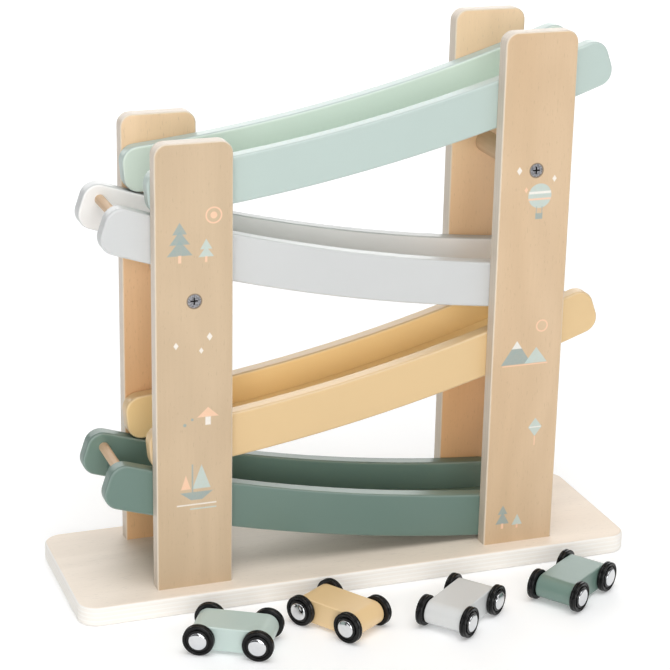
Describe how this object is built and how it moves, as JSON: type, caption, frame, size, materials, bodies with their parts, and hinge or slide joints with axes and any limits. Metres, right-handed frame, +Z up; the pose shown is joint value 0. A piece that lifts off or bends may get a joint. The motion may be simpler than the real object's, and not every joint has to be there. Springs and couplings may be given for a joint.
{
  "type": "click clack track toy",
  "caption": "Zigzag track of curved ramps between pairs of posts on a flat base; block cars roll down each ramp, tumble over its open low end onto the ramp below, and stand beside it.",
  "frame": {"origin": "on the ground, under the middle of the base board", "axes": "+X along the ramps, towards the tall posts; +Y from the cars in front towards the rear posts; +Z up"},
  "size_m": [0.354, 0.1924, 0.3342],
  "materials": {
    "limed_plywood": "limed plywood, clear matt lacquer",
    "post_plywood": "light plywood, clear satin lacquer",
    "dowel_wood": "plain turned wood",
    "green_paint": "wood with dark green satin paint",
    "yellow_paint": "wood with warm yellow satin paint",
    "white_paint": "wood with light grey satin paint",
    "mint_paint": "wood with pale mint satin paint",
    "screw_steel": "zinc plated",
    "axle_steel": "bright drawn",
    "wheel_plastic": "black, moulded",
    "cap_chrome": "polished"
  },
  "bodies": {
    "track": {"base_board": "limed_plywood", "post_front_left": "post_plywood", "post_front_right": "post_plywood", "post_rear_left": "post_plywood", "post_rear_right": "post_plywood", "spacer_bar_left": "dowel_wood", "spacer_bar_right": "dowel_wood", "spacer_screws": "screw_steel", "base_screws": "screw_steel", "rail_dowels": "dowel_wood", "green_rail_front": "green_paint", "green_rail_rear": "green_paint", "green_floor": "green_paint", "green_catch_bar": "dowel_wood", "yellow_rail_front": "yellow_paint", "yellow_rail_rear": "yellow_paint", "yellow_floor": "yellow_paint", "yellow_catch_bar": "dowel_wood", "white_rail_front": "white_paint", "white_rail_rear": "white_paint", "white_floor": "white_paint", "white_catch_bar": "dowel_wood", "mint_rail_front": "mint_paint", "mint_rail_rear": "mint_paint", "mint_floor": "mint_paint", "mint_catch_bar": "dowel_wood"},
    "mint_car": {"mint_car_body": "mint_paint"},
    "mint_car_front_wheelset": {"mint_car_front_axle": "axle_steel", "mint_car_front_wheels": "wheel_plastic", "mint_car_front_caps": "cap_chrome"},
    "mint_car_rear_wheelset": {"mint_car_rear_axle": "axle_steel", "mint_car_rear_wheels": "wheel_plastic", "mint_car_rear_caps": "cap_chrome"},
    "yellow_car": {"yellow_car_body": "yellow_paint"},
    "yellow_car_front_wheelset": {"yellow_car_front_axle": "axle_steel", "yellow_car_front_wheels": "wheel_plastic", "yellow_car_front_caps": "cap_chrome"},
    "yellow_car_rear_wheelset": {"yellow_car_rear_axle": "axle_steel", "yellow_car_rear_wheels": "wheel_plastic", "yellow_car_rear_caps": "cap_chrome"},
    "white_car": {"white_car_body": "white_paint"},
    "white_car_front_wheelset": {"white_car_front_axle": "axle_steel", "white_car_front_wheels": "wheel_plastic", "white_car_front_caps": "cap_chrome"},
    "white_car_rear_wheelset": {"white_car_rear_axle": "axle_steel", "white_car_rear_wheels": "wheel_plastic", "white_car_rear_caps": "cap_chrome"},
    "green_car": {"green_car_body": "green_paint"},
    "green_car_front_wheelset": {"green_car_front_axle": "axle_steel", "green_car_front_wheels": "wheel_plastic", "green_car_front_caps": "cap_chrome"},
    "green_car_rear_wheelset": {"green_car_rear_axle": "axle_steel", "green_car_rear_wheels": "wheel_plastic", "green_car_rear_caps": "cap_chrome"}
  },
  "joints": [
    {"name": "mint_car_roll", "type": "slide", "parent": "track", "child": "mint_car", "axis": [0.866, -0.5, 0], "range_m": [0, 0.02]},
    {"name": "mint_car_front_spin", "type": "hinge", "parent": "mint_car", "child": "mint_car_front_wheelset", "pos_m": [-0.11394, -0.0918, 0.00925], "axis": [0.5, 0.866, 0], "continuous": true},
    {"name": "mint_car_rear_spin", "type": "hinge", "parent": "mint_car", "child": "mint_car_rear_wheelset", "pos_m": [-0.08406, -0.10905, 0.00925], "axis": [0.5, 0.866, 0], "continuous": true},
    {"name": "yellow_car_roll", "type": "slide", "parent": "track", "child": "yellow_car", "axis": [0.5446, -0.8387, 0], "range_m": [0, 0.02]},
    {"name": "yellow_car_front_spin", "type": "hinge", "parent": "yellow_car", "child": "yellow_car_front_wheelset", "pos_m": [-0.0419, -0.07912, 0.00925], "axis": [0.8387, 0.5446, 0], "continuous": true},
    {"name": "yellow_car_rear_spin", "type": "hinge", "parent": "yellow_car", "child": "yellow_car_rear_wheelset", "pos_m": [-0.02311, -0.10805, 0.00925], "axis": [0.8387, 0.5446, 0], "continuous": true},
    {"name": "white_car_roll", "type": "slide", "parent": "track", "child": "white_car", "axis": [0.7771, 0.6293, 0], "range_m": [0, 0.02]},
    {"name": "white_car_front_spin", "type": "hinge", "parent": "white_car", "child": "white_car_front_wheelset", "pos_m": [0.02509, -0.1196, 0.00925], "axis": [-0.6293, 0.7771, 0], "continuous": true},
    {"name": "white_car_rear_spin", "type": "hinge", "parent": "white_car", "child": "white_car_rear_wheelset", "pos_m": [0.05191, -0.09789, 0.00925], "axis": [-0.6293, 0.7771, 0], "continuous": true},
    {"name": "green_car_roll", "type": "slide", "parent": "track", "child": "green_car", "axis": [-0.8192, -0.5736, 0], "range_m": [0, 0.02]},
    {"name": "green_car_front_spin", "type": "hinge", "parent": "green_car", "child": "green_car_front_wheelset", "pos_m": [0.10187, -0.10842, 0.00925], "axis": [-0.5736, 0.8192, 0], "continuous": true},
    {"name": "green_car_rear_spin", "type": "hinge", "parent": "green_car", "child": "green_car_rear_wheelset", "pos_m": [0.13013, -0.08863, 0.00925], "axis": [-0.5736, 0.8192, 0], "continuous": true}
  ]
}
